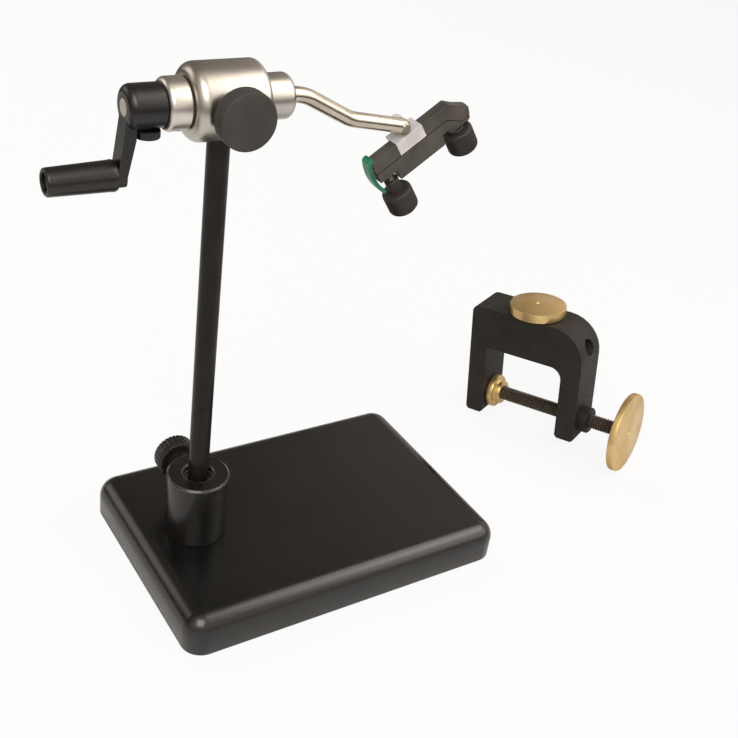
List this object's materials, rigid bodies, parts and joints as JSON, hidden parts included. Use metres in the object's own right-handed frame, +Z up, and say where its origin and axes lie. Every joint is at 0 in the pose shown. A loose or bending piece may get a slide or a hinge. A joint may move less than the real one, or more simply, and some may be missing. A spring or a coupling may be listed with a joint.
{
  "type": "fly tying vise",
  "caption": "Rotary fly tying vise on a heavy pedestal base: bent shaft with crank, sloping hook jaws with knurled knobs, and a separate C-clamp standing beside it.",
  "frame": {"origin": "the point of the table under the stem: the stem's axis on the plane of the base's underside", "axes": "+Z up along the stem, +X along the base's long side towards the jaws, +Y to the back, away from the large lock knob"},
  "size_m": [0.353, 0.1365, 0.2487],
  "materials": {
    "black_coated_metal": "satin black powder coat",
    "black_oxide_steel": "dark oxide, satin",
    "aluminium": "satin turned aluminium",
    "stainless_steel": "polished stainless steel",
    "bronze": "plain bronze",
    "brass": "satin brass",
    "fibre": "dark fibre washer",
    "nylon": "soft plug",
    "green_spring_steel": "green anodised"
  },
  "bodies": {
    "base": {"base_plate": "black_coated_metal", "stem_collar": "black_oxide_steel", "collar_bolt": "black_oxide_steel", "clamp_frame": "black_coated_metal"},
    "collar_screw": {"collar_lock_screw": "black_oxide_steel"},
    "collar_knob": {"collar_lock_knob": "black_oxide_steel"},
    "stem": {"stem": "black_oxide_steel"},
    "head": {"housing": "aluminium", "rear_bush": "bronze", "front_bush": "bronze", "housing_grub_screw": "black_oxide_steel", "lock_plug": "nylon", "thrust_washer": "fibre"},
    "lock_screw": {"lock_screw": "black_oxide_steel"},
    "lock_knob": {"lock_knob": "black_oxide_steel"},
    "shaft": {"rotary_shaft": "stainless_steel", "thrust_collar": "stainless_steel", "thrust_grub_screw": "bronze", "snap_ring": "stainless_steel", "crank_arm": "black_oxide_steel", "handle_pin": "stainless_steel"},
    "grip": {"handle_grip": "black_oxide_steel"},
    "thumb_screw": {"crank_screw": "black_oxide_steel"},
    "thumb_knob": {"crank_thumb_knob": "black_oxide_steel"},
    "jaw_unit": {"jaw_saddle": "stainless_steel", "jaw_pivot_screw": "stainless_steel", "saddle_screws": "stainless_steel", "upper_jaw": "black_oxide_steel", "tail_clip": "green_spring_steel"},
    "front_screw": {"front_jaw_screw": "stainless_steel"},
    "front_knob": {"front_jaw_knob": "black_oxide_steel"},
    "lower_jaw": {"lower_jaw": "black_oxide_steel"},
    "rear_screw": {"rear_jaw_screw": "stainless_steel"},
    "rear_knob": {"rear_jaw_knob": "black_oxide_steel"},
    "pad": {"clamp_pad": "brass"},
    "clamp_spindle": {"clamp_screw": "black_oxide_steel", "clamp_handle_disc": "brass"},
    "stem_disc_screw": {"clamp_stem_screw": "black_oxide_steel"},
    "stem_disc": {"clamp_stem_disc": "brass"}
  },
  "joints": [
    {"name": "collar_lock_travel", "type": "slide", "parent": "base", "child": "collar_screw", "axis": [0, 1, 0], "range_m": [0, 0.0017]},
    {"name": "collar_lock_turn", "type": "hinge", "parent": "collar_screw", "child": "collar_knob", "pos_m": [0, 0.0205, 0.0448], "axis": [0, 1, 0], "range_deg": [0, 720]},
    {"name": "stem_height", "type": "slide", "parent": "base", "child": "stem", "axis": [0, 0, 1], "range_m": [-0.0012, 0.011]},
    {"name": "head_swivel", "type": "hinge", "parent": "stem", "child": "head", "pos_m": [0, 0, 0.2233], "axis": [0, 0, 1], "continuous": true},
    {"name": "shaft_lock_travel", "type": "slide", "parent": "head", "child": "lock_screw", "axis": [0, -1, 0], "range_m": [0, 0.0017]},
    {"name": "shaft_lock_turn", "type": "hinge", "parent": "lock_screw", "child": "lock_knob", "pos_m": [0, -0.0175, 0.2335], "axis": [0, -1, 0], "range_deg": [0, 720]},
    {"name": "shaft_turn", "type": "hinge", "parent": "head", "child": "shaft", "pos_m": [0, 0, 0.2335], "axis": [1, 0, 0], "continuous": true},
    {"name": "grip_turn", "type": "hinge", "parent": "shaft", "child": "grip", "pos_m": [-0.0575, 0, 0.2071], "axis": [1, 0, 0], "continuous": true},
    {"name": "thumb_travel", "type": "slide", "parent": "shaft", "child": "thumb_screw", "axis": [0, 0, -1], "range_m": [0, 0.0011]},
    {"name": "thumb_turn", "type": "hinge", "parent": "thumb_screw", "child": "thumb_knob", "pos_m": [-0.02996, 0, 0.2247], "axis": [0, 0, -1], "range_deg": [0, 540]},
    {"name": "jaw_tilt", "type": "hinge", "parent": "shaft", "child": "jaw_unit", "pos_m": [0.08725, 0, 0.21578], "axis": [0, -1, 0], "range_deg": [-25, 25]},
    {"name": "front_knob_travel", "type": "slide", "parent": "jaw_unit", "child": "front_screw", "axis": [0.5592, 0, -0.829], "range_m": [0, 0.0012]},
    {"name": "front_knob_turn", "type": "hinge", "parent": "front_screw", "child": "front_knob", "pos_m": [0.11668, 0, 0.21206], "axis": [0.5592, 0, -0.829], "range_deg": [0, 600]},
    {"name": "lower_jaw_close", "type": "hinge", "parent": "jaw_unit", "child": "lower_jaw", "pos_m": [0.11595, 0, 0.21314], "axis": [0, -1, 0], "range_deg": [0, 2.25]},
    {"name": "rear_knob_travel", "type": "slide", "parent": "lower_jaw", "child": "rear_screw", "axis": [-0.5592, 0, 0.829], "range_m": [0, 0.0015]},
    {"name": "rear_knob_turn", "type": "hinge", "parent": "rear_screw", "child": "rear_knob", "pos_m": [0.08868, 0, 0.18611], "axis": [-0.5592, 0, 0.829], "range_deg": [0, 740]},
    {"name": "clamp_travel", "type": "slide", "parent": "base", "child": "pad", "axis": [0.4033, -0.9059, 0.1291], "range_m": [0, 0.0381]},
    {"name": "clamp_turn", "type": "hinge", "parent": "pad", "child": "clamp_spindle", "pos_m": [0.22759, 0.04944, 0.01269], "axis": [0.4033, -0.9059, 0.1291], "range_deg": [0, 9120]},
    {"name": "stem_disc_travel", "type": "slide", "parent": "base", "child": "stem_disc_screw", "axis": [-0.0525, 0.118, 0.9916], "range_m": [0, 0.0051]},
    {"name": "stem_disc_turn", "type": "hinge", "parent": "stem_disc_screw", "child": "stem_disc", "pos_m": [0.2328, 0.03774, 0.07466], "axis": [-0.0525, 0.118, 0.9916], "range_deg": [0, 1800]}
  ],
  "couplings": [
    {"joint": "collar_lock_travel", "follows": "collar_lock_turn", "m_per_rad": 0.00012732},
    {"joint": "shaft_lock_travel", "follows": "shaft_lock_turn", "m_per_rad": 0.00012732},
    {"joint": "thumb_travel", "follows": "thumb_turn", "m_per_rad": 0.00011141},
    {"joint": "front_knob_travel", "follows": "front_knob_turn", "m_per_rad": 0.00011141},
    {"joint": "rear_knob_travel", "follows": "rear_knob_turn", "m_per_rad": 0.00011141},
    {"joint": "lower_jaw_close", "follows": "rear_knob_turn", "ratio": 0.0029536},
    {"joint": "clamp_travel", "follows": "clamp_turn", "m_per_rad": 0.00023873},
    {"joint": "stem_disc_travel", "follows": "stem_disc_turn", "m_per_rad": 0.00015915}
  ]
}
